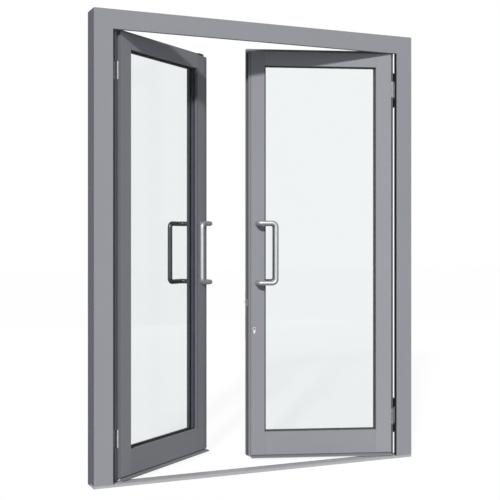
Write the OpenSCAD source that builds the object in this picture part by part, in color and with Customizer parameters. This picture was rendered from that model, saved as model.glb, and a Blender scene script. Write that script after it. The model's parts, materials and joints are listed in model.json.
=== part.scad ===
// Glazed aluminium double door in its frame: two inward-opening leaves, shown ajar.
// Millimetres, +X along the frame, +Y to the side the leaves open to, +Z up.
// The origin is the middle of the threshold's underside.

/* [Frame] */
// Width of the frame over its outer sides
frame_w = 1700; // [1400:5:2000]
// Height of the frame from the floor
frame_h = 2200; // [2000:10:2500]
// Face width of the jambs and the head
face_w = 90; // [75:1:110]
// Depth of the frame tube and of the leaves
frame_d = 65; // [62:1:75]
// Reach of the wall fin behind the frame tube
fin_reach = 47; // [40:1:80]
// Thickness of the wall fin
fin_t = 4; // [3:0.5:6]
// Depth of the shoulder that the leaves close against
shoulder_d = 20; // [16:0.5:22]
// Width of the rebate behind the shoulder
rebate_w = 30; // [30:0.5:34]
// Wall of the aluminium extrusions
wall_t = 2.5; // [2:0.1:3]
// Diameter of the wall fixing holes in the fins
fixing_d = 9; // [6:0.5:12]
// Distance of the outermost wall fixings from the frame's ends
fixing_end = 250; // [150:10:350]

/* [Threshold] */
// Height of the threshold
threshold_h = 14; // [13:0.5:18]
// Bevel along the threshold's front edge
threshold_bevel = 3; // [1:0.5:4]
// Depth of the grip grooves in the threshold
groove_d = 0.8; // [0.4:0.1:1.2]

/* [Leaves] */
// Opening angle of the left leaf
left_open = 37.1; // [0:0.1:88]
// Opening angle of the right leaf
right_open = 17.7; // [0:0.1:88]
// Gap between a leaf and its jamb
hinge_gap = 5; // [4:0.5:8]
// Gap between a leaf and the head
top_gap = 2.5; // [2:0.5:6]
// Gap between a leaf and the threshold
floor_gap = 4; // [3:0.5:8]
// Gap between the two leaves
meeting_gap = 6; // [4:0.5:8]
// Room for the stop gasket between the shoulder and a leaf's lip
stop_gap = 12; // [10:0.5:14]
// Width of the lip on the hinge side
hinge_lip = 17; // [14:0.5:17]
// Height of the lip over a leaf's face
top_lip = 18; // [16:0.5:24]
// Drop of the lip under a leaf's face
bottom_lip = 15; // [14:0.5:20]
// Face width of the hinge stile
hinge_stile_w = 81; // [75:1:95]
// Face width of the meeting stile
meeting_stile_w = 73; // [70:1:95]
// Face height of the top rail
top_rail_h = 71; // [66:1:100]
// Face height of the bottom rail
bottom_rail_h = 118; // [90:1:200]
// Width of the outer lip on the left leaf's meeting edge
left_lip_w = 22; // [20:0.5:26]
// Width of the facing strip on the right leaf's meeting edge
right_strip_w = 13; // [11:0.5:16]
// Width of the inner lip on the right leaf's meeting edge
right_lip_w = 10; // [8:0.5:12]
// Step back of the meeting strips from the leaves' faces
strip_step = 2; // [1:0.5:3]
// Height of the right leaf's meeting strip above the leaf's lowest edge
strip_rise = 8; // [4:0.5:12]

/* [Glazing] */
// Width of the glazing leg that covers the glass edge
leg_w = 22; // [20:0.5:26]
// Thickness of the glazing leg
leg_t = 16; // [12:0.5:17]
// Thickness of each pane
pane_t = 4; // [3:0.5:5]
// Cavity between the panes
cavity_t = 16; // [12:1:18]
// Room round the edge of the glass
glass_gap = 5; // [4:0.5:7]
// Height of the spacer bar between the panes
spacer_h = 12; // [8:1:14]
// Thickness of the outer glazing gasket
outer_gasket_t = 5; // [3:0.5:6]
// Thickness of the inner glazing gasket
inner_gasket_t = 4; // [3:0.5:5]
// How far the outer gasket shows beside the glazing leg
gasket_show = 5; // [3:0.5:8]
// How far the inner gasket shows beside the beads
inner_show = 1; // [0.5:0.5:3]
// Width of the glazing beads
bead_w = 22; // [18:0.5:24]

/* [Hinges] */
// Diameter of the hinge barrels
barrel_d = 17; // [15:0.5:18]
// Diameter of the hinge pins
pin_d = 8; // [6:0.5:10]
// How far the hinge axis lies beyond the frame's inner edge
axis_out = 20; // [18:0.5:20.5]
// Height of the barrel on the leaf
leaf_barrel_h = 84; // [60:1:110]
// Height of each barrel on the frame
frame_barrel_h = 46; // [30:1:60]
// Thickness of the hinge plates
plate_t = 3; // [2.5:0.5:4]
// Width of the hinge plates on the inner faces
plate_w = 44; // [36:1:48]
// Height of the bottom hinges' middle
bottom_hinge_z = 213; // [180:1:300]
// Distance of the top hinges' middle under the head
top_hinge_drop = 182; // [150:1:300]

/* [Handles] */
// Diameter of the handle tube
handle_d = 25; // [20:1:32]
// Distance between the two fixings of a handle
handle_cc = 305; // [200:5:500]
// Distance from the leaf to the middle of the bar
handle_reach = 62; // [55:1:90]
// Distance of the fixings from the edge of the leaf's face
handle_inset = 32; // [30:1:38]
// Sideways offset of the outside handle's bar from its fixings
handle_crank = 90; // [60:1:110]
// Sideways offset of the inside handle's bar from its fixings
inside_crank = 107; // [60:1:120]
// Bend radius of the handle tube at its middle line
handle_bend_r = 20; // [18:1:26]
// Height of the handles' middle
handle_z = 1071; // [1030:1:1200]
// Diameter of the through bolts that hold a pair of handles
bolt_d = 8; // [6:0.5:10]

/* [Lock] */
// Height of the lock cylinder
cylinder_z = 681; // [640:1:700]
// Distance from the lock's face plate to the cylinder
backset = 40; // [38:1:44]
// Distance of the roller catch above the cylinder
roller_rise = 134; // [110:1:150]
// Throw of the deadbolt
bolt_throw = 20; // [12:1:22]
// Travel of the top flush bolt
top_throw = 22; // [18:1:24]
// Travel of the bottom flush bolt
bottom_throw = 14; // [10:1:15]

/* [Hidden] */
// Running clearance of pins in their bores
run_clear = 0.05;
// Clearance between sliding pieces
slide_clear = 0.3;
// Gap between the barrels along the pin
barrel_gap = 0.5;
// Overlap used when cutting
eps = 1;

// Frame
front_y = -frame_d / 2;
back_y = frame_d / 2;
fin_y = back_y + fin_reach;
jamb_x = frame_w / 2 - face_w;
head_z = frame_h - face_w;
fixing_y = back_y + fin_reach * 0.6;
jamb_fixings = 4;
fixing_pitch = (frame_h - 2 * fixing_end) / (jamb_fixings - 1);
head_fixing_x = frame_w / 2 - fixing_end;
threshold_grooves = 5;
groove_pitch = 8;
groove_w = 3;
// Weather gasket on the shoulder
weather_t = 3;
weather_front = 1;
weather_back = shoulder_d - 1;

// Leaf, in its own frame: the hinge axis is the origin, +X runs to the free edge,
// -Y is the outer side and Z is the door's own height
barrel_r = barrel_d / 2;
axis_back = barrel_r + barrel_gap;
axis_x = jamb_x + axis_out;
axis_y = back_y + axis_back;
out_y = -axis_back - frame_d;
in_y = -axis_back;
lip_y = out_y + shoulder_d + stop_gap;
strip_y = out_y + strip_step;
leaf_w = (2 * jamb_x - 2 * hinge_gap - left_lip_w - meeting_gap - right_strip_w) / 2;
face_u0 = axis_out + hinge_gap;
face_u1 = face_u0 + leaf_w;
lip_u = face_u0 - hinge_lip;
rebate_u = axis_out - rebate_w;
low_z = threshold_h + floor_gap;
face_z0 = low_z + bottom_lip;
face_z1 = head_z - top_gap;
top_z = face_z1 + top_lip;
strip_z = low_z + strip_rise;

// Glazing: day opening, tube faces, glass edges and depths
day_u0 = face_u0 + hinge_stile_w;
day_u1 = face_u1 - meeting_stile_w;
day_z0 = face_z0 + bottom_rail_h;
day_z1 = face_z1 - top_rail_h;
tube_u0 = day_u0 - leg_w;
tube_u1 = day_u1 + leg_w;
tube_z0 = day_z0 - leg_w;
tube_z1 = day_z1 + leg_w;
glass_y0 = out_y + leg_t + outer_gasket_t;
glass_y1 = glass_y0 + 2 * pane_t + cavity_t;
bead_y = glass_y1 + inner_gasket_t;
bead_wall = 1.6;
bead_gap = 0.2;
gasket_hold = 8;
joint_gap = 0.4;
block_l = 100;
block_inset = 80;

// Stop gasket, sealing block, drip bar and bottom seal
stop_t = stop_gap - 1.5;
stop_edge = 2;
stop_drop = 8;
catch_room = 12;
block_hold = 25;
strip_groove = 1.5;
strip_groove_d = 5;
drip_nose = 15;
drip_back = 10;
drip_t = 3;
seal_t = 3;
seal_clear = 0.5;

// Hinges
pin_r = pin_d / 2;
hinge_zs = [bottom_hinge_z, head_z - top_hinge_drop];
cap_h = 3;
cap_r = pin_r + 3;
edge_leg_t = 1.6;
edge_leg_w = 18;
hinge_half = leaf_barrel_h / 2;

// Handles
handle_r = handle_d / 2;
handle_u = face_u1 - handle_inset;
bolt_r = bolt_d / 2;
bolt_hold = 15;

// Lock, in the right leaf's meeting edge
edge_u = face_u1 + right_strip_w;
end_u = edge_u + right_lip_w;
lock_y = (lip_y + in_y) / 2;
lock_t = 15;
lock_deep = backset + 28;
lock_below = 56;
lock_above = 50;
lock_z0 = cylinder_z - lock_below;
lock_z1 = cylinder_z + roller_rise + lock_above;
lock_tail = 15;
face_plate_t = 2;
face_plate_w = 19;
cyl_u = end_u - backset;
cyl_r = 8.5;
cyl_web = 10;
cyl_drop = 19.5;
cyl_proud = 3;
plug_r = 6.5;
cam_r = 15;
cam_w = 9;
key_w = 2.4;
bolt_w = 12;
bolt_h = 24;
bolt_l = 44;
deadbolt_rise = 48;
deadbolt_z = cylinder_z + deadbolt_rise;
roller_z = cylinder_z + roller_rise;
roller_r = 8;
roller_w = 11;
roller_proud = 4;
roller_l = 30;
strike_gap = 3;
strike_t = left_lip_w + meeting_gap - right_lip_w - face_plate_t - strike_gap;
strike_wall = 2;

// Flush bolts, in the left leaf's meeting stile
rod_r = 5;
rod_u = face_u1 - 20;
rod_l = 260;
neck_w = 8;
knob_w = 14;
knob_h = 22;
knob_t = 3;
top_knob_z = top_z - rod_l + neck_w;
bottom_knob_z = low_z + rod_l - neck_w;
keep_r = 8;
keep_rim_r = 11;
keep_rim_t = 1.5;
keep_h = 11;
keep_bore_r = rod_r + 0.6;

// Colours
grey_metal = [0.55, 0.56, 0.58];
dark_metal = [0.40, 0.41, 0.43];
pale_metal = [0.60, 0.61, 0.62];
satin_steel = [0.72, 0.73, 0.73];
black_rubber = [0.09, 0.09, 0.10];
pale_glass = [0.86, 0.93, 0.93, 0.35];
brass_metal = [0.78, 0.70, 0.45];

// A box between two corners
module box(low, high) {
  translate(low) cube(high - low);
}

// An upright extrusion of an XY profile between two heights
module upright(points, z0, z1) {
  translate([0, 0, z0]) linear_extrude(z1 - z0) polygon(points);
}

// A level extrusion of a YZ profile between two X positions
module level(points, x0, x1) {
  translate([x0, 0, 0]) rotate([90, 0, 90]) linear_extrude(x1 - x0) polygon(points);
}

// A round bar along Y between two depths
module bar_y(r, x, z, y0, y1) {
  translate([x, y1, z]) rotate([90, 0, 0]) cylinder(r = r, h = y1 - y0, $fn = 48);
}

// A round bar along X between two positions
module bar_x(r, y, z, x0, x1) {
  translate([x0, y, z]) rotate([0, 90, 0]) cylinder(r = r, h = x1 - x0, $fn = 48);
}

// A flat ring round the day opening: it reaches out and in from the edges by these amounts
module glazing_ring(out, in, y0, y1) {
  difference() {
    box([day_u0 - out, y0, day_z0 - out], [day_u1 + out, y1, day_z1 + out]);
    box([day_u0 + in, y0 - eps, day_z0 + in], [day_u1 - in, y1 + eps, day_z1 - in]);
  }
}

// Places a leaf's pieces at its opening angle; the right leaf is the left one mirrored
module on_left_leaf() {
  translate([-axis_x, axis_y, 0]) rotate([0, 0, left_open]) children();
}

module on_right_leaf() {
  mirror([1, 0, 0]) translate([-axis_x, axis_y, 0]) rotate([0, 0, right_open]) children();
}

// Places a frame hinge on the left or the right hinge axis
module at_left_axis() {
  translate([-axis_x, axis_y, 0]) children();
}

module at_right_axis() {
  mirror([1, 0, 0]) at_left_axis() children();
}

// Section of the jambs and the head: X runs outwards from the inner edge, Y is depth
function frame_section(i) = [[i, front_y + i], [face_w - i, front_y + i], [face_w - i, back_y - i],
  [rebate_w + i, back_y - i], [rebate_w + i, front_y + shoulder_d - i], [i, front_y + shoulder_d - i]];

function fin_section() = [[face_w - fin_t, back_y], [face_w, back_y], [face_w, fin_y], [face_w - fin_t, fin_y]];

// The frame's hollow tube with its fin, over a length, before the mitre
module frame_bar(tube_z, fin_z, length) {
  difference() {
    union() {
      upright(frame_section(0), tube_z, length);
      upright(fin_section(), fin_z, length);
    }
    upright(frame_section(wall_t), tube_z - eps, length + eps);
  }
}

// The right jamb, mitred at its top and drilled for the wall fixings
module jamb() {
  color(grey_metal) difference() {
    translate([jamb_x, 0, 0]) frame_bar(threshold_h, 0, frame_h);
    translate([jamb_x, 0, head_z]) rotate([0, -45, 0])
      box([-face_w, front_y - eps, 0], [2 * face_w, fin_y + eps, 2 * face_w]);
    for (i = [0:jamb_fixings - 1])
      bar_x(fixing_d / 2, fixing_y, fixing_end + i * fixing_pitch,
            frame_w / 2 - 2 * fin_t, frame_w / 2 + eps);
  }
}

module frame_head() {
  keep_x = rod_u - axis_x;
  keep_y = axis_y + lock_y;
  color(grey_metal) difference() {
    translate([0, 0, head_z]) rotate([0, -90, 0]) translate([0, 0, -frame_w / 2])
      frame_bar(0, 0, frame_w);
    for (side = [0, 1])
      mirror([side, 0, 0]) translate([jamb_x, 0, head_z]) rotate([0, 45, 0])
        box([0, front_y - eps, -face_w], [2 * face_w, fin_y + eps, 2 * face_w]);
    for (side = [-1, 1])
      translate([side * head_fixing_x, fixing_y, frame_h - 2 * fin_t])
        cylinder(r = fixing_d / 2, h = 3 * fin_t, $fn = 48);
    translate([keep_x, keep_y, head_z + rebate_w - eps])
      cylinder(r = keep_r + slide_clear, h = wall_t + 2 * eps, $fn = 48);
  }
}

// Hollow threshold with grip grooves, under the jambs from side to side
module threshold() {
  inner_w = (frame_d - 4 * wall_t) / 3;
  keep_x = rod_u - axis_x;
  keep_y = axis_y + lock_y;
  color(pale_metal) difference() {
    level([[front_y, 0], [back_y, 0], [back_y, threshold_h],
           [front_y + threshold_bevel, threshold_h], [front_y, threshold_h - threshold_bevel]],
          -frame_w / 2, frame_w / 2);
    for (i = [0:2])
      box([-frame_w / 2 - eps, front_y + wall_t + i * (inner_w + wall_t), wall_t],
          [frame_w / 2 + eps, front_y + (i + 1) * (inner_w + wall_t),
           threshold_h - wall_t - (i == 0 ? threshold_bevel / 2 : 0)]);
    for (i = [0:threshold_grooves - 1])
      box([-jamb_x, front_y + 8 + i * groove_pitch, threshold_h - groove_d],
          [jamb_x, front_y + 8 + i * groove_pitch + groove_w, threshold_h + eps]);
    translate([keep_x, keep_y, wall_t])
      cylinder(r = keep_rim_r + slide_clear, h = threshold_h, $fn = 48);
  }
}

// Weather gasket lining the shoulders of the jambs, and a stop gasket behind the head's shoulder,
// parted in the middle for the left leaf's sealing block
module frame_gasket() {
  y0 = front_y + weather_front;
  y1 = front_y + weather_back;
  stop_y = front_y + shoulder_d;
  stop_z0 = head_z + stop_edge;
  stop_z1 = top_z - stop_edge;
  part_x0 = face_u1 - block_hold - axis_x - stop_edge;
  part_x1 = face_u1 + left_lip_w - axis_x + stop_edge;
  color(black_rubber) {
    for (side = [0, 1])
      mirror([side, 0, 0])
        box([jamb_x - weather_t, y0, threshold_h], [jamb_x, y1, head_z]);
    box([-jamb_x, stop_y, stop_z0], [part_x0, stop_y + stop_t, stop_z1]);
    box([part_x1, stop_y, stop_z0], [jamb_x, stop_y + stop_t, stop_z1]);
  }
}

// Hinge half on the frame: a plate on the inner face and two barrels on the axis
module frame_hinge(z) {
  plate_z0 = z - hinge_half - barrel_gap - frame_barrel_h;
  plate_z1 = z + hinge_half + barrel_gap + frame_barrel_h;
  color(dark_metal) difference() {
    union() {
      box([rebate_u - plate_w, in_y, plate_z0], [rebate_u, in_y + plate_t, plate_z1]);
      for (z0 = [plate_z0, plate_z1 - frame_barrel_h]) {
        box([rebate_u, in_y, z0], [-barrel_gap, in_y + plate_t, z0 + frame_barrel_h]);
        translate([0, 0, z0]) cylinder(r = barrel_r, h = frame_barrel_h, $fn = 64);
      }
    }
    translate([0, 0, plate_z0 - eps])
      cylinder(r = pin_r + run_clear, h = plate_z1 - plate_z0 + 2 * eps, $fn = 64);
  }
}

// One hinge pin with a cap on each end
module hinge_pin(z) {
  z0 = z - hinge_half - barrel_gap - frame_barrel_h;
  z1 = z + hinge_half + barrel_gap + frame_barrel_h;
  translate([0, 0, z0]) cylinder(r = pin_r, h = z1 - z0, $fn = 64);
  for (end = [z0 - cap_h, z1])
    translate([0, 0, end]) cylinder(r = cap_r, h = cap_h, $fn = 64);
}

module hinge_pins() {
  color(satin_steel) for (z = hinge_zs) {
    at_left_axis() hinge_pin(z);
    at_right_axis() hinge_pin(z);
  }
}

// Rimmed bush that a flush bolt enters, standing on its plain end
module bolt_keep() {
  difference() {
    union() {
      cylinder(r = keep_r, h = keep_h, $fn = 48);
      translate([0, 0, keep_h - keep_rim_t]) cylinder(r = keep_rim_r, h = keep_rim_t, $fn = 48);
    }
    translate([0, 0, -eps]) cylinder(r = keep_bore_r, h = keep_h + 2 * eps, $fn = 48);
  }
}

module bolt_keeps() {
  color(satin_steel) translate([rod_u - axis_x, axis_y + lock_y, 0]) {
    translate([0, 0, wall_t]) bolt_keep();
    translate([0, 0, head_z + rebate_w + keep_h - keep_rim_t]) mirror([0, 0, 1]) bolt_keep();
  }
}

// Sections of the leaf's profiles, drawn in by i: the stiles in plan, the rails from the side
function hinge_stile_section(i) = [[face_u0 + i, out_y + i], [day_u0 - i, out_y + i],
  [day_u0 - i, out_y + leg_t - i], [tube_u0 - i, out_y + leg_t - i], [tube_u0 - i, in_y - i],
  [lip_u + i, in_y - i], [lip_u + i, lip_y + i], [face_u0 + i, lip_y + i]];

function meeting_stile_section(i) = [[day_u1 + i, out_y + i], [face_u1 - i, out_y + i],
  [face_u1 - i, in_y - i], [tube_u1 + i, in_y - i], [tube_u1 + i, out_y + leg_t - i],
  [day_u1 + i, out_y + leg_t - i]];

function top_rail_section(i) = [[out_y + i, day_z1 + i], [out_y + leg_t - i, day_z1 + i],
  [out_y + leg_t - i, tube_z1 + i], [in_y - i, tube_z1 + i], [in_y - i, top_z - i],
  [lip_y + i, top_z - i], [lip_y + i, face_z1 - i], [out_y + i, face_z1 - i]];

function bottom_rail_section(i) = [[out_y + i, face_z0 + i], [lip_y + i, face_z0 + i],
  [lip_y + i, low_z + i], [in_y - i, low_z + i], [in_y - i, tube_z0 - i],
  [out_y + leg_t - i, tube_z0 - i], [out_y + leg_t - i, day_z0 - i], [out_y + i, day_z0 - i]];

// Hollow of the inner half, which runs through the lips at both ends of a stile
module lip_hollow(u0, u1) {
  box([u0 + wall_t, lip_y + wall_t, low_z - eps], [u1 - wall_t, in_y - wall_t, top_z + eps]);
}

// Trims a stile's outer half back to the height of the leaf's face
module face_trim(u0, u1) {
  box([u0, out_y - eps, low_z - eps], [u1, lip_y, face_z0]);
  box([u0, out_y - eps, face_z1], [u1, lip_y, top_z + eps]);
}

module hinge_stile() {
  color(grey_metal) difference() {
    upright(hinge_stile_section(0), low_z, top_z);
    upright(hinge_stile_section(wall_t), face_z0, face_z1);
    lip_hollow(lip_u, tube_u0);
    face_trim(lip_u - eps, day_u0 + eps);
  }
}

// Meeting stile, drilled for the handle bolts
module plain_meeting_stile() {
  difference() {
    upright(meeting_stile_section(0), low_z, top_z);
    upright(meeting_stile_section(wall_t), face_z0, face_z1);
    lip_hollow(tube_u1, face_u1);
    face_trim(day_u1 - eps, face_u1 + eps);
    for (side = [-1, 1])
      bar_y(bolt_r + slide_clear, handle_u, handle_z + side * handle_cc / 2, out_y - eps, in_y + eps);
  }
}

// The left one is slotted for the flush bolts and cut for the lock's bolt and roller
module left_meeting_stile() {
  wall_u = face_u1 - wall_t - eps;
  slot_y = neck_w / 2 + slide_clear;
  color(grey_metal) difference() {
    plain_meeting_stile();
    box([wall_u, lock_y - slot_y, top_knob_z - slot_y],
        [face_u1 + eps, lock_y + slot_y, top_knob_z + top_throw + slot_y]);
    box([wall_u, lock_y - slot_y, bottom_knob_z - bottom_throw - slot_y],
        [face_u1 + eps, lock_y + slot_y, bottom_knob_z + slot_y]);
    bolt_window(wall_u, face_u1 + eps);
  }
}

// The right one is cut for the lock case and the cylinder
module right_meeting_stile() {
  color(grey_metal) difference() {
    plain_meeting_stile();
    lock_pocket();
    cylinder_hole(out_y - eps, in_y + eps);
  }
}

// A rail notched round the stiles' glazing legs, with a hairline joint on the outer face
module rail(section_out, section_in) {
  color(grey_metal) difference() {
    level(section_out, tube_u0, tube_u1);
    level(section_in, tube_u0 - eps, tube_u1 + eps);
    box([tube_u0 - eps, out_y - eps, low_z - eps], [day_u0 + joint_gap, out_y + leg_t, top_z + eps]);
    box([day_u1 - joint_gap, out_y - eps, low_z - eps], [tube_u1 + eps, out_y + leg_t, top_z + eps]);
  }
}

module top_rail() {
  rail(top_rail_section(0), top_rail_section(wall_t));
}

module bottom_rail() {
  rail(bottom_rail_section(0), bottom_rail_section(wall_t));
}

// Hollow lip on the left leaf's outer edge, which the right leaf closes behind
function left_rebate_section(i) = [[face_u1 + i, strip_y + i], [face_u1 + left_lip_w - i, strip_y + i],
  [face_u1 + left_lip_w - i, out_y + shoulder_d - i], [face_u1 + i, out_y + shoulder_d - i]];

module left_rebate_profile() {
  color(grey_metal) difference() {
    upright(left_rebate_section(0), face_z0, face_z1);
    upright(left_rebate_section(wall_t), face_z0 - eps, face_z1 + eps);
  }
}

// Facing strip and inner lip on the right leaf's edge, which carry the lock's face plate;
// a groove parts the strip from the stile
function right_rebate_section(i) = [[face_u1 + i, strip_y + strip_groove_d + i],
  [face_u1 + strip_groove + i, strip_y + strip_groove_d + i],
  [face_u1 + strip_groove + i, strip_y + i], [edge_u - i, strip_y + i],
  [edge_u - i, lip_y + i], [end_u - i, lip_y + i], [end_u - i, in_y - i], [face_u1 + i, in_y - i]];

module right_rebate_profile() {
  color(grey_metal) difference() {
    upright(right_rebate_section(0), strip_z, top_z);
    upright(right_rebate_section(wall_t), strip_z - eps, face_z1);
    lip_hollow(face_u1, end_u);
    box([face_u1 - eps, out_y - eps, face_z1], [edge_u + eps, lip_y, top_z + eps]);
    lock_pocket();
  }
}

// One pane of the sealed unit, by its outer side
module pane(y) {
  color(pale_glass)
    box([tube_u0 + glass_gap, y, tube_z0 + glass_gap],
        [tube_u1 - glass_gap, y + pane_t, tube_z1 - glass_gap]);
}

module spacer_bar() {
  reach = leg_w - glass_gap;
  color(satin_steel) glazing_ring(reach, spacer_h - reach, glass_y0 + pane_t, glass_y1 - pane_t);
}

// Blocks that carry the glass on the bottom rail
module setting_blocks() {
  color(black_rubber)
    for (u = [tube_u0 + block_inset, tube_u1 - block_inset - block_l])
      box([u, glass_y0, tube_z0], [u + block_l, glass_y1, tube_z0 + glass_gap]);
}

// Hollow snap-in beads on the inner side: two uprights with two cross beads between them
module glazing_beads() {
  color(grey_metal) {
    for (u = [tube_u0, tube_u1 - bead_w])
      difference() {
        box([u, bead_y, tube_z0], [u + bead_w, in_y, tube_z1]);
        box([u + bead_wall, bead_y + bead_wall, tube_z0 - eps],
            [u + bead_w - bead_wall, in_y - bead_wall, tube_z1 + eps]);
      }
    for (z = [tube_z0, tube_z1 - bead_w])
      difference() {
        box([tube_u0 + bead_w + bead_gap, bead_y, z], [tube_u1 - bead_w - bead_gap, in_y, z + bead_w]);
        box([tube_u0 + bead_w - eps, bead_y + bead_wall, z + bead_wall],
            [tube_u1 - bead_w + eps, in_y - bead_wall, z + bead_w - bead_wall]);
      }
  }
}

module outer_gasket() {
  color(black_rubber) glazing_ring(gasket_hold, gasket_show, out_y + leg_t, glass_y0);
}

module inner_gasket() {
  bead_edge = leg_w - bead_w;
  color(black_rubber) glazing_ring(bead_edge + gasket_hold, inner_show - bead_edge, glass_y1, bead_y);
}

// Stop gasket up the front of the hinge side's lip, notched at the hinges
module stop_gasket() {
  y0 = lip_y - stop_t;
  color(black_rubber) difference() {
    box([lip_u + stop_edge, y0, low_z], [face_u0 - stop_edge, lip_y, face_z1]);
    for (z = hinge_zs)
      box([lip_u - eps, y0 - eps, z - hinge_half - eps], [face_u0, lip_y + eps, z + hinge_half + eps]);
  }
}

// On the left leaf a sealing block closes the gap over the meeting lip
module left_stop_gasket() {
  stop_gasket();
  color(black_rubber)
    box([face_u1 - block_hold, lip_y - stop_t, face_z1 + stop_edge],
        [face_u1 + left_lip_w, lip_y, top_z]);
}

// On the right leaf it also runs up the meeting lip, notched at the catch
module right_stop_gasket() {
  y0 = lip_y - stop_t;
  notch = roller_r + catch_room;
  stop_gasket();
  color(black_rubber) difference() {
    box([edge_u, y0, strip_z], [end_u - stop_edge, lip_y, face_z1 - stop_drop]);
    box([edge_u - eps, y0 - eps, roller_z - notch], [end_u, lip_y + eps, roller_z + notch]);
  }
}

// Drip bar under the outer face: a foot below the rail and a nose that throws water clear
module drip_bar(end) {
  nose_y = out_y - drip_nose;
  foot_y = out_y + drip_back;
  heel_y = out_y + shoulder_d - eps;
  color(grey_metal) level([[heel_y, face_z0], [foot_y, face_z0],
    [foot_y, face_z0 - drip_t - 1], [nose_y, low_z + drip_t + 1], [nose_y, low_z],
    [nose_y + drip_t, low_z], [nose_y + drip_t, low_z + drip_t - 1],
    [foot_y + drip_t, face_z0 - 2 * drip_t], [heel_y, face_z0 - drip_t]], face_u0, end);
}

// Rubber fin that closes the gap over the threshold
module bottom_seal() {
  color(black_rubber)
    box([face_u0, lip_y + 1, threshold_h + seal_clear], [face_u1, lip_y + 1 + seal_t, low_z]);
}

// Cranked pull handle: two legs off the face, bent sideways and joined by an upright bar
module handle_leg(crank) {
  bar_u = handle_u - crank;
  bar_y0 = out_y - handle_reach;
  knee_y = bar_y0 + handle_bend_r;
  top = handle_cc / 2;
  bar_y(handle_r, handle_u, top, knee_y, out_y);
  translate([handle_u - handle_bend_r, knee_y, top]) rotate([0, 0, -90])
    rotate_extrude(angle = 90, $fn = 64) translate([handle_bend_r, 0]) circle(handle_r, $fn = 48);
  bar_x(handle_r, bar_y0, top, bar_u + handle_bend_r, handle_u - handle_bend_r);
  translate([bar_u + handle_bend_r, bar_y0, top - handle_bend_r]) rotate([90, 0, 0])
    rotate([0, 0, 90]) rotate_extrude(angle = 90, $fn = 64)
      translate([handle_bend_r, 0]) circle(handle_r, $fn = 48);
  translate([bar_u, bar_y0, 0]) cylinder(r = handle_r, h = top - handle_bend_r, $fn = 48);
}

module outside_handle(crank) {
  color(satin_steel) translate([0, 0, handle_z]) difference() {
    union() {
      handle_leg(crank);
      mirror([0, 0, 1]) handle_leg(crank);
    }
    for (side = [-1, 1])
      bar_y(bolt_r + run_clear, handle_u, side * handle_cc / 2, out_y - bolt_hold, out_y + eps);
  }
}

// The inside handle is mirrored through the middle of the leaf
module inside_handle() {
  translate([0, out_y + in_y, 0]) mirror([0, 1, 0]) outside_handle(inside_crank);
}

module handle_bolts() {
  color(satin_steel) for (side = [-1, 1])
    bar_y(bolt_r, handle_u, handle_z + side * handle_cc / 2, out_y - bolt_hold, in_y + bolt_hold);
}

// Hinge half on the leaf: it wraps the lip, reaches along the leaf's edge and carries a barrel
module leaf_hinge(z) {
  front = lip_y - plate_t;
  color(satin_steel) difference() {
    union() {
      upright([[face_u0 - edge_leg_t, lip_y - edge_leg_w], [face_u0, lip_y - edge_leg_w],
               [face_u0, lip_y], [lip_u, lip_y], [lip_u, in_y], [plate_w, in_y],
               [plate_w, in_y + plate_t], [0, in_y + plate_t], [0, in_y], [lip_u - plate_t, in_y],
               [lip_u - plate_t, front], [face_u0 - edge_leg_t, front]], z - hinge_half, z + hinge_half);
      translate([0, 0, z - hinge_half]) cylinder(r = barrel_r, h = leaf_barrel_h, $fn = 64);
    }
    translate([0, 0, z - hinge_half - eps])
      cylinder(r = pin_r + run_clear, h = leaf_barrel_h + 2 * eps, $fn = 64);
  }
}

// Room for the lock case in the meeting stile and the rebate profile
module lock_pocket() {
  half = lock_t / 2 + slide_clear;
  box([face_u1 - wall_t - eps, lock_y - half, lock_z0 + lock_tail - slide_clear],
      [end_u + eps, lock_y + half, lock_z1 - lock_tail + slide_clear]);
}

// Outline of the profile cylinder, upright about its plug
module cylinder_outline(grow) {
  circle(cyl_r + grow, $fn = 64);
  translate([-cyl_web / 2 - grow, -cyl_drop]) square([cyl_web + 2 * grow, cyl_drop]);
  translate([0, -cyl_drop]) circle(cyl_web / 2 + grow, $fn = 48);
}

module cylinder_solid(grow, y0, y1) {
  translate([cyl_u, y1, cylinder_z]) rotate([90, 0, 0]) linear_extrude(y1 - y0) cylinder_outline(grow);
}

module cylinder_hole(y0, y1) {
  cylinder_solid(slide_clear, y0, y1);
}

// Openings for the deadbolt and the roller in what they enter
module bolt_window(u0, u1) {
  w = bolt_w / 2 + 1;
  h = bolt_h / 2 + 1;
  box([u0, lock_y - w, deadbolt_z - h], [u1, lock_y + w, deadbolt_z + h]);
  box([u0, lock_y - w, roller_z - h], [u1, lock_y + w, roller_z + h]);
}

// Lock case with its face plate, holding the deadbolt, the roller and the cylinder's cam
module lock_case() {
  half = lock_t / 2;
  w = bolt_w / 2 + slide_clear;
  h = bolt_h / 2 + slide_clear;
  rw = roller_w / 2 + slide_clear;
  rh = roller_r + slide_clear;
  color(dark_metal) difference() {
    union() {
      box([end_u - lock_deep, lock_y - half, lock_z0 + lock_tail],
          [end_u, lock_y + half, lock_z1 - lock_tail]);
      box([end_u, lock_y - face_plate_w / 2, lock_z0],
          [end_u + face_plate_t, lock_y + face_plate_w / 2, lock_z1]);
    }
    cylinder_hole(lock_y - lock_t, lock_y + lock_t);
    bar_y(cam_r + 1, cyl_u, cylinder_z, lock_y - cam_w / 2 - 1, lock_y + cam_w / 2 + 1);
    box([end_u + face_plate_t - bolt_l - eps, lock_y - w, deadbolt_z - h],
        [end_u + face_plate_t + eps, lock_y + w, deadbolt_z + h]);
    box([end_u + face_plate_t - roller_l - roller_proud - 2, lock_y - rw, roller_z - rh],
        [end_u + face_plate_t + eps, lock_y + rw, roller_z + rh]);
  }
}

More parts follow.
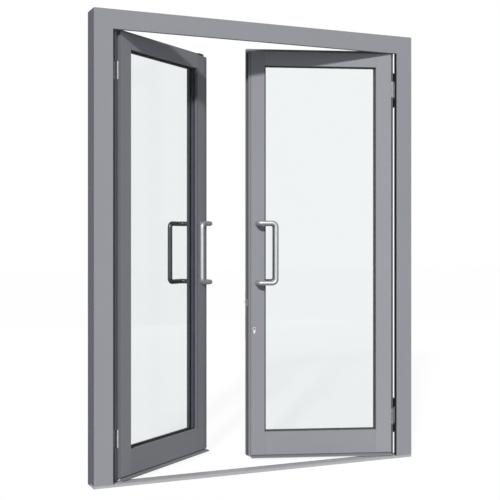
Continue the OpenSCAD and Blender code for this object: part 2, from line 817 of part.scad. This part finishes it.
module deadbolt() {
  color(satin_steel)
    box([end_u + face_plate_t - bolt_l, lock_y - bolt_w / 2, deadbolt_z - bolt_h / 2],
        [end_u + face_plate_t, lock_y + bolt_w / 2, deadbolt_z + bolt_h / 2]);
}

// Sprung catch with a round nose, standing out of the face plate
module roller_catch() {
  nose_u = end_u + face_plate_t + roller_proud - roller_r;
  color(satin_steel) {
    box([nose_u - roller_l + roller_r, lock_y - roller_w / 2, roller_z - roller_r],
        [nose_u, lock_y + roller_w / 2, roller_z + roller_r]);
    bar_y(roller_r, nose_u, roller_z, lock_y - roller_w / 2, lock_y + roller_w / 2);
  }
}

module cylinder_body() {
  y0 = out_y - cyl_proud;
  y1 = in_y + cyl_proud;
  color(satin_steel) difference() {
    cylinder_solid(0, y0, y1);
    bar_y(plug_r + run_clear, cyl_u, cylinder_z, y0 - eps, y1 + eps);
    bar_y(cam_r + 1, cyl_u, cylinder_z, lock_y - cam_w / 2 - 0.5, lock_y + cam_w / 2 + 0.5);
  }
}

// Turning plug with its key slots and the cam between them
module cylinder_plug() {
  y0 = out_y - cyl_proud;
  y1 = in_y + cyl_proud;
  slot_h = 1.3 * plug_r;
  slot_l = 12;
  color(brass_metal) difference() {
    union() {
      bar_y(plug_r, cyl_u, cylinder_z, y0, y1);
      box([cyl_u - cyl_web / 2 + 1, lock_y - cam_w / 2, cylinder_z],
          [cyl_u + cyl_web / 2 - 1, lock_y + cam_w / 2, cylinder_z + cam_r - 1]);
    }
    for (y = [y0 - eps, y1 + eps - slot_l])
      box([cyl_u - key_w / 2, y, cylinder_z - slot_h / 2],
          [cyl_u + key_w / 2, y + slot_l, cylinder_z + slot_h / 2]);
  }
}

// Strike box on the left leaf's meeting edge: a hollow block with openings for bolt and catch
module strike_plate() {
  half = face_plate_w / 2;
  color(satin_steel) difference() {
    box([face_u1, lock_y - half, lock_z0 + lock_tail], [face_u1 + strike_t, lock_y + half, lock_z1]);
    box([face_u1 - eps, lock_y - half + strike_wall, lock_z0 + lock_tail + strike_wall],
        [face_u1 + strike_t - strike_wall, lock_y + half - strike_wall, lock_z1 - strike_wall]);
    bolt_window(face_u1 - eps, face_u1 + strike_t + eps);
  }
}

// Flush bolt: a rod in the stile and a thumb piece that slides on the edge
module flush_bolt(z0, z1, knob_z) {
  color(satin_steel) {
    translate([rod_u, lock_y, z0]) cylinder(r = rod_r, h = z1 - z0, $fn = 48);
    box([rod_u, lock_y - neck_w / 2, knob_z - neck_w / 2],
        [face_u1 + slide_clear, lock_y + neck_w / 2, knob_z + neck_w / 2]);
    box([face_u1 + slide_clear, lock_y - knob_w / 2, knob_z - knob_h / 2],
        [face_u1 + slide_clear + knob_t, lock_y + knob_w / 2, knob_z + knob_h / 2]);
  }
}

module top_flush_bolt() {
  flush_bolt(top_z - eps - rod_l, top_z - eps, top_knob_z);
}

module bottom_flush_bolt() {
  flush_bolt(low_z + eps, low_z + eps + rod_l, bottom_knob_z);
}

// The fixed frame
mirror([1, 0, 0]) jamb();  // frame_jamb_left
jamb();  // frame_jamb_right
frame_head();
threshold();
frame_gasket();
at_left_axis() frame_hinge(hinge_zs[1]);  // left_top_frame_hinge
at_left_axis() frame_hinge(hinge_zs[0]);  // left_bottom_frame_hinge
at_right_axis() frame_hinge(hinge_zs[1]);  // right_top_frame_hinge
at_right_axis() frame_hinge(hinge_zs[0]);  // right_bottom_frame_hinge
hinge_pins();
bolt_keeps();

// The left leaf
on_left_leaf() hinge_stile();  // left_hinge_stile
on_left_leaf() left_meeting_stile();
on_left_leaf() top_rail();  // left_top_rail
on_left_leaf() bottom_rail();  // left_bottom_rail
on_left_leaf() left_rebate_profile();
on_left_leaf() pane(glass_y0);  // left_outer_pane
on_left_leaf() pane(glass_y1 - pane_t);  // left_inner_pane
on_left_leaf() spacer_bar();  // left_spacer_bar
on_left_leaf() setting_blocks();  // left_setting_blocks
on_left_leaf() glazing_beads();  // left_glazing_beads
on_left_leaf() outer_gasket();  // left_outer_gasket
on_left_leaf() inner_gasket();  // left_inner_gasket
on_left_leaf() left_stop_gasket();
on_left_leaf() drip_bar(face_u1 + left_lip_w);  // left_drip_bar
on_left_leaf() bottom_seal();  // left_bottom_seal
on_left_leaf() outside_handle(handle_crank);  // left_outside_handle
on_left_leaf() inside_handle();  // left_inside_handle
on_left_leaf() handle_bolts();  // left_handle_bolts
on_left_leaf() leaf_hinge(hinge_zs[1]);  // left_top_leaf_hinge
on_left_leaf() leaf_hinge(hinge_zs[0]);  // left_bottom_leaf_hinge
on_left_leaf() strike_plate();  // left_strike_plate
on_left_leaf() top_flush_bolt();  // left_top_flush_bolt
on_left_leaf() bottom_flush_bolt();  // left_bottom_flush_bolt

// The right leaf and its lock
on_right_leaf() hinge_stile();  // right_hinge_stile
on_right_leaf() right_meeting_stile();
on_right_leaf() top_rail();  // right_top_rail
on_right_leaf() bottom_rail();  // right_bottom_rail
on_right_leaf() right_rebate_profile();
on_right_leaf() pane(glass_y0);  // right_outer_pane
on_right_leaf() pane(glass_y1 - pane_t);  // right_inner_pane
on_right_leaf() spacer_bar();  // right_spacer_bar
on_right_leaf() setting_blocks();  // right_setting_blocks
on_right_leaf() glazing_beads();  // right_glazing_beads
on_right_leaf() outer_gasket();  // right_outer_gasket
on_right_leaf() inner_gasket();  // right_inner_gasket
on_right_leaf() right_stop_gasket();
on_right_leaf() drip_bar(face_u1);  // right_drip_bar
on_right_leaf() bottom_seal();  // right_bottom_seal
on_right_leaf() outside_handle(handle_crank);  // right_outside_handle
on_right_leaf() inside_handle();  // right_inside_handle
on_right_leaf() handle_bolts();  // right_handle_bolts
on_right_leaf() leaf_hinge(hinge_zs[1]);  // right_top_leaf_hinge
on_right_leaf() leaf_hinge(hinge_zs[0]);  // right_bottom_leaf_hinge
on_right_leaf() lock_case();
on_right_leaf() deadbolt();
on_right_leaf() roller_catch();
on_right_leaf() cylinder_body();
on_right_leaf() cylinder_plug();
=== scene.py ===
import json
import math

import bpy
from mathutils import Matrix, Vector


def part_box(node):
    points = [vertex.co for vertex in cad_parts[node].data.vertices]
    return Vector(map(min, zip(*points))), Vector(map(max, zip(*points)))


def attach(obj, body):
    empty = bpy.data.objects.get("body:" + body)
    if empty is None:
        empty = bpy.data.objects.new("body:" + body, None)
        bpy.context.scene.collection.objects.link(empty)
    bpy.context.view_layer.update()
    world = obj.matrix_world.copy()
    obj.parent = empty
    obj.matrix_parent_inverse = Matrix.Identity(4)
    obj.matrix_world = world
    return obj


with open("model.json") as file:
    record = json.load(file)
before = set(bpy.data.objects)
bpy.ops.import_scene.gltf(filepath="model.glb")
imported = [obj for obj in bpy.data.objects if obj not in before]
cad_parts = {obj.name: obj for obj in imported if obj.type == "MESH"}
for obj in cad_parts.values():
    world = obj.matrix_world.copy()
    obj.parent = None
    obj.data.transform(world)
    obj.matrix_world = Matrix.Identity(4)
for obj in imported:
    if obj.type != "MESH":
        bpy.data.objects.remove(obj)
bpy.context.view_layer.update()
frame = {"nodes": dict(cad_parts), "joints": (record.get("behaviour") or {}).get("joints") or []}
nodes = frame["nodes"]


# Jambs and head
# Hollow aluminium extrusions, mitred at the corners and anodised a satin grey. Drawing through
# the die leaves faint lines along their length, and their sides get painted shade, darker than their
# faces.

class Shade:
    """A socket in a node tree: sums and products of shades add Math nodes."""

    def __init__(self, tree, socket=None):
        self.tree = tree
        self.socket = socket

    def node(self, kind, settings, sockets, out=0):
        """Adds any node: its settings come first, then the values or links of its sockets."""
        made = self.tree.nodes.new(kind)
        for name, value in settings.items():
            if name == "stops":
                while len(made.color_ramp.elements) < len(value):
                    made.color_ramp.elements.new(1.0)
                for stop, (place, colour) in zip(made.color_ramp.elements, value):
                    stop.position = place
                    stop.color = (*colour, 1.0)
            else:
                setattr(made, name, value)
        for name, value in sockets.items():
            if isinstance(value, Shade):
                self.tree.links.new(value.socket, made.inputs[name])
            else:
                made.inputs[name].default_value = value
        return Shade(self.tree, made.outputs[out] if made.outputs else None)

    def maths(self, operation, first, second):
        return self.node("ShaderNodeMath", {"operation": operation}, {0: first, 1: second})

    def __add__(self, other):
        return self.maths("ADD", self, other)

    __radd__ = __add__

    def __sub__(self, other):
        return self.maths("SUBTRACT", self, other)

    def __rsub__(self, other):
        return self.maths("SUBTRACT", other, self)

    def __mul__(self, other):
        return self.maths("MULTIPLY", self, other)

    __rmul__ = __mul__

    def __lt__(self, other):
        return self.maths("LESS_THAN", self, other)

    def __gt__(self, other):
        return self.maths("GREATER_THAN", self, other)


def start_material(name):
    material = bpy.data.materials.new(name)
    material.use_nodes = True
    material.node_tree.nodes.clear()
    return material, Shade(material.node_tree)


def noise(shade, scale, stretch=(1, 1, 1), detail=3.0):
    """Noise over the piece's own coordinates, stretched along the axes."""
    place = shade.node("ShaderNodeTexCoord", {}, {}, "Object")
    place = shade.node("ShaderNodeMapping", {}, {"Vector": place, "Scale": stretch})
    return shade.node("ShaderNodeTexNoise", {}, {"Vector": place, "Scale": scale, "Detail": detail})


def two_tones(shade, mask, low, high):
    """A colour that runs from one tone to another with a mask."""
    return shade.node("ShaderNodeValToRGB", {"stops": [(0.25, low), (0.75, high)]}, {"Fac": mask})


def anodised(name, level, stretch, turn=0.0, shaded_edge_side=None):
    """Grey metal drawn along one axis; sides that face along the turn, and a line along the glass, get
    painted shade.
    """
    material, shade = start_material(name)
    lines = noise(shade, 1.0, stretch)
    cloud = noise(shade, 2.5)
    grain = noise(shade, 700.0)
    normal = shade.node("ShaderNodeTexCoord", {}, {}, "Normal")
    normal_x = shade.node("ShaderNodeSeparateXYZ", {}, {"Vector": normal}, "X")
    normal_y = shade.node("ShaderNodeSeparateXYZ", {}, {"Vector": normal}, "Y")
    sideways = normal_x * math.cos(turn) + normal_y * math.sin(turn)
    # Painted shade: faces that point along the turn take the darkest stop.
    tone = 0.5 * lines + 0.5 * cloud - (sideways * sideways > 0.5)
    if shaded_edge_side:
        # Painted shade: a dark line along the glass edge of a meeting stile.
        tone = tone - painted_shade_line(shade, shaded_edge_side)
    stops = [(0.0, SIDE_SHADE), (0.01, LOW), (0.25, LOW), (0.75, HIGH)]
    stops = [(place, [level * part for part in colour]) for place, colour in stops]
    bump = shade.node("ShaderNodeBump", {}, {"Height": grain, "Strength": 0.04, "Distance": 0.0005})
    surface = shade.node("ShaderNodeBsdfPrincipled", {}, {
        "Base Color": shade.node("ShaderNodeValToRGB", {"stops": stops}, {"Fac": tone}),
        "Metallic": 0.1,
        "Roughness": 0.68 + 0.12 * lines,
        "Normal": bump,
    })
    shade.node("ShaderNodeOutputMaterial", {}, {"Surface": surface})
    return material


def dress(material, *names):
    for name in names:
        nodes[name].data.materials.clear()
        nodes[name].data.materials.append(material)


LOW = (0.277, 0.283, 0.304)
HIGH = (0.305, 0.311, 0.332)
# Painted shade: the tone painted on the sides of the profiles.
SIDE_SHADE = (0.142, 0.145, 0.174)
UPRIGHT = (240, 240, 1.5)
LEVEL = (1.5, 1.5, 240)
level_metal = anodised("anodised_level", 1.0, LEVEL)
dress(anodised("anodised_jamb", 1.0, UPRIGHT), "frame_jamb_left", "frame_jamb_right")
dress(level_metal, "frame_head")


# Threshold
# A flat hollow aluminium bar across the floor, left in its mill finish, with grip grooves.
# Feet leave fine scuffs on it, between the lines that the die has left.

def mill_finish(name):
    material, shade = start_material(name)
    lines = noise(shade, 1.0, (3, 420, 420))
    scuffs = noise(shade, 30.0, (1, 3, 3), 6.0)
    tone = 0.5 * lines + 0.5 * scuffs
    bump = shade.node("ShaderNodeBump", {}, {"Height": lines, "Strength": 0.08, "Distance": 0.0004})
    surface = shade.node("ShaderNodeBsdfPrincipled", {}, {
        "Base Color": two_tones(shade, tone, (0.44, 0.44, 0.45), (0.53, 0.53, 0.54)),
        "Metallic": 0.3,
        "Roughness": 0.45 + 0.25 * scuffs,
        "Normal": bump,
    })
    shade.node("ShaderNodeOutputMaterial", {}, {"Surface": surface})
    return material


dress(mill_finish("mill_aluminium"), "threshold")


# Leaf frames
# Each leaf is two stiles with two rails between them, and a meeting profile on its free edge.
# They have the frame's anodised metal, with painted shade that makes the meeting stiles and the
# bottom rails a little darker, and the meeting profiles and the inner beads darkest.

joints = {joint["name"]: joint for joint in frame["joints"]}
SIDES = ("left", "right")


def leaf_stand(side):
    """A leaf's hinge axis, its turn from the closed place and the way it runs from the axis."""
    joint = joints[side + "_leaf_swing"]
    return joint["pos_m"], -math.radians(joint["range_deg"][0]), 1 if side == "left" else -1


def leaf_place(shade, side):
    """How far a point of a leaf lies from its hinge axis along and across the leaf."""
    axis, angle, out = leaf_stand(side)
    place = shade.node("ShaderNodeTexCoord", {}, {}, "Object")
    x = shade.node("ShaderNodeSeparateXYZ", {}, {"Vector": place}, "X") - axis[0]
    y = shade.node("ShaderNodeSeparateXYZ", {}, {"Vector": place}, "Y") - axis[1]
    along = out * math.cos(angle) * x + math.sin(angle) * y
    across = math.cos(angle) * y - out * math.sin(angle) * x
    return along, across


# Width of the painted shade line along a meeting stile's glass edge.
SHADE_LINE_W = 0.004


def painted_shade_line(shade, side):
    """Painted shade: the edge of a meeting stile along the glass, between the rails."""
    axis, angle, out = leaf_stand(side)
    way = Vector((out * math.cos(angle), math.sin(angle), 0))
    corners = [corner.co - Vector(axis) for corner in nodes[side + "_meeting_stile"].data.vertices]
    glass_edge = min(way.dot(corner) for corner in corners)
    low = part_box(side + "_bottom_rail")[1].z
    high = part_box(side + "_top_rail")[0].z
    along = leaf_place(shade, side)[0]
    place = shade.node("ShaderNodeTexCoord", {}, {}, "Object")
    z = shade.node("ShaderNodeSeparateXYZ", {}, {"Vector": place}, "Z")
    return (along < glass_edge + SHADE_LINE_W) * (z > low) * (z < high)


# Painted shade: lower levels darken the bottom rails, meeting stiles, meeting profiles and beads.
shaded_low_rail_metal = anodised("anodised_low_rail", 0.92, LEVEL)
for side in SIDES:
    angle, out = leaf_stand(side)[1:]
    turn = out * angle
    stile_metal = anodised(side + "_anodised_stile", 1.0, UPRIGHT, turn)
    shaded_free_metal = anodised(side + "_anodised_free_stile", 0.9, UPRIGHT, turn, side)
    shaded_strip_metal = anodised(side + "_anodised_strip", 0.78, UPRIGHT, turn)
    shaded_bead_metal = anodised(side + "_anodised_bead", 0.6, UPRIGHT, turn)
    dress(stile_metal, side + "_hinge_stile")
    dress(shaded_free_metal, side + "_meeting_stile")
    dress(shaded_strip_metal, side + "_rebate_profile")
    dress(shaded_bead_metal, side + "_glazing_beads")
    dress(level_metal, side + "_top_rail")
    dress(shaded_low_rail_metal, side + "_bottom_rail", side + "_drip_bar")


# Gaskets and seals
# Extruded rubber: black on the frame and under the leaves, black or dusty round the glass, and
# grey on the leaves' lips. It is matt, with a little pale bloom from dust.

STRIP_END = 0.6


def rubber(name, low, high, strip=False):
    """Matt rubber; on the left leaf a grey strip ends in a black block over the meeting lip."""
    material, shade = start_material(name)
    bloom = noise(shade, 40.0, (1, 1, 0.2), 5.0)
    pores = noise(shade, 1500.0)
    tone = bloom
    if strip:
        along = leaf_place(shade, "left")[0]
        tone = 0.2 * bloom + 0.6 * (along < STRIP_END)
    bump = shade.node("ShaderNodeBump", {}, {"Height": pores, "Strength": 0.1, "Distance": 0.0003})
    surface = shade.node("ShaderNodeBsdfPrincipled", {}, {
        "Base Color": two_tones(shade, tone, low, high),
        "Roughness": 0.55 + 0.25 * bloom,
        "Normal": bump,
    })
    shade.node("ShaderNodeOutputMaterial", {}, {"Surface": surface})
    return material


black_rubber = rubber("black_rubber", (0.010, 0.010, 0.011), (0.026, 0.026, 0.028))
dusty_rubber = rubber("dusty_rubber", (0.040, 0.040, 0.041), (0.070, 0.070, 0.071))
dress(black_rubber, "frame_gasket", "left_outer_gasket")
dress(dusty_rubber, "right_outer_gasket")
dress(rubber("pale_grey_rubber", (0.06, 0.06, 0.06), (0.33, 0.33, 0.325), True), "left_stop_gasket")
dress(rubber("dark_grey_rubber", (0.070, 0.069, 0.066), (0.095, 0.093, 0.089)), "right_stop_gasket")
for side in SIDES:
    for seal in ("setting_blocks", "inner_gasket", "bottom_seal"):
        dress(black_rubber, side + "_" + seal)


# Sealed glass units
# Two clear panes held apart by a grey spacer bar; float glass has a faint green cast.
# The panes let most light through and mirror the rest at a shallow angle.

def clear_glass(name):
    material, shade = start_material(name)
    film = noise(shade, 6.0)
    gloss = shade.node("ShaderNodeBsdfPrincipled", {}, {
        "Base Color": two_tones(shade, film, (0.86, 0.90, 0.89), (0.93, 0.95, 0.94)),
        "Metallic": 1.0,
        "Roughness": 0.02 + 0.03 * film,
    })
    clear = shade.node("ShaderNodeBsdfTransparent", {}, {"Color": (0.966, 0.974, 0.975, 1.0)})
    slant = shade.node("ShaderNodeLayerWeight", {}, {"Blend": 0.5}, "Facing")
    mirror = 0.012 + 0.3 * slant.maths("POWER", slant, 5.0)
    surface = shade.node("ShaderNodeMixShader", {}, {0: mirror, 1: clear, 2: gloss})
    shade.node("ShaderNodeOutputMaterial", {}, {"Surface": surface})
    return material


glass = clear_glass("clear_glass")
spacer = anodised("grey_spacer", 0.6, (60, 60, 60))
for side in SIDES:
    dress(glass, side + "_outer_pane", side + "_inner_pane")
    dress(spacer, side + "_spacer_bar")


# Pull handles
# Stainless tube, bent twice at each end and polished to a satin with a belt, so that the fine
# scratches run round the tube; the inside ones are the same steel with painted shade. Bolts through the
# stile hold a pair.

def satin_steel(name, low, high, rough):
    material, shade = start_material(name)
    scratches = noise(shade, 1.0, (90, 90, 1400))
    patches = noise(shade, 9.0)
    tone = 0.6 * scratches + 0.4 * patches
    bump = shade.node("ShaderNodeBump", {}, {"Height": scratches, "Strength": 0.01, "Distance": 0.0002})
    surface = shade.node("ShaderNodeBsdfPrincipled", {}, {
        "Base Color": two_tones(shade, tone, low, high),
        "Metallic": 1.0,
        "Roughness": rough + 0.08 * scratches,
        "Normal": bump,
    })
    shade.node("ShaderNodeOutputMaterial", {}, {"Surface": surface})
    return material


steel = satin_steel("satin_steel", (0.49, 0.50, 0.51), (0.56, 0.57, 0.58), 0.50)
# Painted shade: the inside handles are the same steel, painted darker.
shaded_inside_steel = satin_steel("shaded_inside_steel", (0.13, 0.13, 0.135), (0.18, 0.18, 0.185), 0.30)
for side in SIDES:
    dress(steel, side + "_outside_handle", side + "_handle_bolts")
    dress(shaded_inside_steel, side + "_inside_handle")


# Hinges
# The leaf half wraps the lip and carries the middle barrel; the frame half is a plate with two
# barrels. A steel pin with a cap at each end runs through all three.

HIGHLIGHT_STRIP_Y = -0.0525


def hinge_bracket(name, side):
    """Plain metal with a painted highlight: a bright matt strip on the leg along the leaf's edge."""
    material, shade = start_material(name)
    across = leaf_place(shade, side)[1]
    # Painted highlight: a pale, matt strip stands in for light on the leg.
    highlight_strip = 0.8 * (across < HIGHLIGHT_STRIP_Y) + 0.2 * noise(shade, 90.0)
    surface = shade.node("ShaderNodeBsdfPrincipled", {}, {
        "Base Color": two_tones(shade, highlight_strip, (0.36, 0.36, 0.36), (0.88, 0.88, 0.87)),
        "Metallic": 0.95 - 0.9 * highlight_strip,
        "Roughness": 0.38 + 0.2 * highlight_strip,
    })
    shade.node("ShaderNodeOutputMaterial", {}, {"Surface": surface})
    return material


dark_metal = satin_steel("dark_steel", (0.23, 0.23, 0.235), (0.33, 0.33, 0.335), 0.26)
dress(steel, "hinge_pins")
for side in SIDES:
    bracket = hinge_bracket(side + "_hinge_bracket", side)
    for end in ("top", "bottom"):
        dress(bracket, side + "_" + end + "_leaf_hinge")
        dress(dark_metal, side + "_" + end + "_frame_hinge")


# Lock and flush bolts
# The lock sits in the right leaf's edge: case, deadbolt, sprung catch and profile cylinder.
# The left leaf has the strike plate, and a flush bolt at each end of its edge.

nickel = satin_steel("nickelled_brass", (0.36, 0.36, 0.35), (0.44, 0.44, 0.43), 0.30)
bright_nickel = satin_steel("bright_nickel", (0.84, 0.84, 0.84), (0.92, 0.92, 0.92), 0.35)
dress(dark_metal, "lock_case")
dress(steel, "deadbolt", "roller_catch", "left_strike_plate", "bolt_keeps")
dress(dark_metal, "left_top_flush_bolt", "left_bottom_flush_bolt")
dress(bright_nickel, "cylinder_body")
dress(nickel, "cylinder_plug")


# Screws
# Low round-edged steel screws with a round socket, driven down to the hinge plates, the lock's
# face plate and the strike plate. One is modelled, and the rest are copies of it.

SCREW_R = 0.0042
SCREW_H = 0.0012
SCREW_EDGE = SCREW_H * 0.4
SOCKET_R = 0.0022
SOCKET_D = SCREW_H * 0.7


def select_only(*objects):
    bpy.ops.object.select_all(action="DESELECT")
    for piece in objects:
        piece.select_set(True)
    bpy.context.view_layer.objects.active = objects[0]


def pick_faces(piece, wanted):
    """Selects the faces that pass a test on their middle and normal, and goes to edit mode."""
    bpy.ops.object.mode_set(mode="EDIT")
    bpy.ops.mesh.select_mode(type="FACE")
    bpy.ops.mesh.select_all(action="DESELECT")
    bpy.ops.object.mode_set(mode="OBJECT")
    for face in piece.data.polygons:
        face.select = wanted(face.center, face.normal)
    bpy.ops.object.mode_set(mode="EDIT")


def make_screw():
    bpy.ops.object.select_all(action="DESELECT")
    bpy.ops.mesh.primitive_cylinder_add(vertices=24, radius=SCREW_R, depth=SCREW_H)
    screw = bpy.context.object
    pick_faces(screw, lambda middle, normal: normal.z > 0.9)
    bpy.ops.mesh.bevel(offset=SCREW_EDGE, segments=2)
    pick_faces(screw, lambda middle, normal: normal.z > 0.9 and middle.z > SCREW_H * 0.45)
    bpy.ops.mesh.inset(thickness=SCREW_R - SOCKET_R - SCREW_EDGE)
    bpy.ops.mesh.extrude_region_move(TRANSFORM_OT_translate={"value": (0, 0, -SOCKET_D)})
    bpy.ops.object.mode_set(mode="OBJECT")
    return screw


def place_copies(model, name, places, body, material):
    """Copies a model to each place, facing outwards, and joins the copies into one piece."""
    copies = []
    for point, outward in places:
        copy = model.copy()
        copy.data = model.data.copy()
        bpy.context.collection.objects.link(copy)
        turn = outward.to_track_quat("Z", "Y").to_matrix().to_4x4()
        copy.matrix_world = Matrix.Translation(point) @ turn
        copies.append(copy)
    select_only(*copies)
    bpy.ops.object.transform_apply(location=True, rotation=True, scale=True)
    bpy.ops.object.join()
    piece = bpy.context.object
    piece.name = name
    piece.data.materials.clear()
    piece.data.materials.append(material)
    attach(piece, body)


def leaf_point(side, u, y, z):
    """A point given along a leaf from its hinge axis, across it from the axis, and by height."""
    axis, angle, out = leaf_stand(side)
    x = u * math.cos(angle) - y * math.sin(angle)
    return Vector((axis[0] + out * x, axis[1] + u * math.sin(angle) + y * math.cos(angle), z))


def leaf_way(side, u, y):
    """A direction given along and across a leaf."""
    return leaf_point(side, u, y, 0) - leaf_point(side, 0, 0, 0)


LIP_FRONT = -0.045
LIP_SCREW_U = 0.014
INNER_PLATE = -0.006
PLATE_SCREW_U = 0.032
LEAF_STEPS = (-0.030, 0.030)
FRAME_STEPS = (-0.075, -0.025, 0.025, 0.075)
END_INSET = 0.008
screw = make_screw()
for side in SIDES:
    leaf_places = []
    frame_places = []
    axis, angle, out = leaf_stand(side)
    for end in ("top", "bottom"):
        low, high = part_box(side + "_" + end + "_leaf_hinge")
        middle = (low.z + high.z) / 2
        for z in (middle + step for step in LEAF_STEPS):
            leaf_places.append((leaf_point(side, LIP_SCREW_U, LIP_FRONT, z), leaf_way(side, 0, -1)))
            leaf_places.append((leaf_point(side, PLATE_SCREW_U, INNER_PLATE, z), leaf_way(side, 0, 1)))
        for z in (middle + step for step in FRAME_STEPS):
            point = Vector((axis[0] - out * PLATE_SCREW_U, axis[1] + INNER_PLATE, z))
            frame_places.append((point, Vector((0, 1, 0))))
    place_copies(screw, side + "_leaf_hinge_screws", leaf_places, side + "_leaf", steel)
    place_copies(screw, side + "_frame_hinge_screws", frame_places, "frame", steel)
LOCK_Y = -0.0255
FACE_PLATE_U = 0.7845
STRIKE_U = 0.7725
low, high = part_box("lock_case")
lock_places = [(leaf_point("right", FACE_PLATE_U, LOCK_Y, z), leaf_way("right", 1, 0))
               for z in (low.z + END_INSET, high.z - END_INSET)]
place_copies(screw, "lock_plate_screws", lock_places, "right_leaf", steel)
low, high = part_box("left_strike_plate")
strike_places = [(leaf_point("left", STRIKE_U, LOCK_Y, z), leaf_way("left", 1, 0))
                 for z in (low.z + END_INSET, high.z - END_INSET)]
place_copies(screw, "strike_plate_screws", strike_places, "left_leaf", steel)
bpy.data.objects.remove(screw)


# Room
# A plain pale floor under a white surround, with a sun and a soft lamp in front and a soft lamp
# behind. The floor and the surround are white to the camera, and the floor keeps the shadow.

def white_floor(name):
    material, shade = start_material(name)
    ray = shade.node("ShaderNodeLightPath", {}, {}, "Is Camera Ray")
    matt = shade.node("ShaderNodeBsdfDiffuse", {}, {"Color": (0.62, 0.62, 0.62, 1.0)})
    white = shade.node("ShaderNodeEmission", {}, {"Color": (1.0, 1.0, 1.0, 1.0), "Strength": 1.16})
    surface = shade.node("ShaderNodeMixShader", {}, {0: 0.8 * ray, 1: matt, 2: white})
    shade.node("ShaderNodeOutputMaterial", {}, {"Surface": surface})
    return material


bpy.ops.object.select_all(action="DESELECT")
bpy.ops.mesh.primitive_plane_add(size=60.0, location=(0, 0, -0.001))
floor = bpy.context.object
floor.name = "floor"
floor.data.materials.append(white_floor("white_floor"))

world = bpy.data.worlds.new("white_surround")
bpy.context.scene.world = world
world.use_nodes = True
world.node_tree.nodes.clear()
sky = Shade(world.node_tree)
camera_ray = sky.node("ShaderNodeLightPath", {}, {}, "Is Camera Ray")
glass_ray = sky.node("ShaderNodeLightPath", {}, {}, "Is Transmission Ray")
gloss_ray = sky.node("ShaderNodeLightPath", {}, {}, "Is Glossy Ray")
level = 0.13 + 0.87 * camera_ray + 0.87 * glass_ray + 0.33 * gloss_ray
surround = sky.node("ShaderNodeBackground", {}, {"Color": (1.0, 1.0, 1.0, 1.0), "Strength": level})
sky.node("ShaderNodeOutputWorld", {}, {"Surface": surround})

sun = bpy.data.lights.new("front_sun", "SUN")
sun.energy = 2.88
sun.angle = math.radians(4.0)
sun_lamp = bpy.data.objects.new("front_sun", sun)
sun_lamp.rotation_euler = Vector((-0.59, -0.85, 0.47)).to_track_quat("Z", "Y").to_euler()
bpy.context.collection.objects.link(sun_lamp)

for name, y, watts in (("front_softbox", -8.0, 100.0), ("back_softbox", 8.0, 120.0)):
    soft = bpy.data.lights.new(name, "AREA")
    soft.shape = "RECTANGLE"
    soft.size = 9.0
    soft.size_y = 5.0
    soft.energy = watts
    soft.color = (0.80, 0.88, 1.0)
    soft_lamp = bpy.data.objects.new(name, soft)
    soft_lamp.location = (0.0, y, 2.5)
    soft_lamp.rotation_euler = (math.copysign(math.radians(90.0), -y), 0.0, 0.0)
    soft_lamp.visible_camera = False
    bpy.context.collection.objects.link(soft_lamp)


# Camera
# It stands to the left of the door at about chest height and looks level, so that upright
# edges stay upright; a small shift sets the door's height in the picture.

camera = bpy.data.cameras.new("camera")
camera.sensor_width = 36.0
camera.lens = 70.58
camera.shift_y = -0.021
camera.clip_end = 200.0
camera_stand = bpy.data.objects.new("camera", camera)
camera_stand.location = (-1.981, -4.4145, 1.140)
camera_stand.rotation_euler = (math.radians(90.0), 0.0, math.radians(-23.52))
bpy.context.collection.objects.link(camera_stand)
bpy.context.scene.camera = camera_stand
bpy.context.scene.view_settings.view_transform = "Standard"
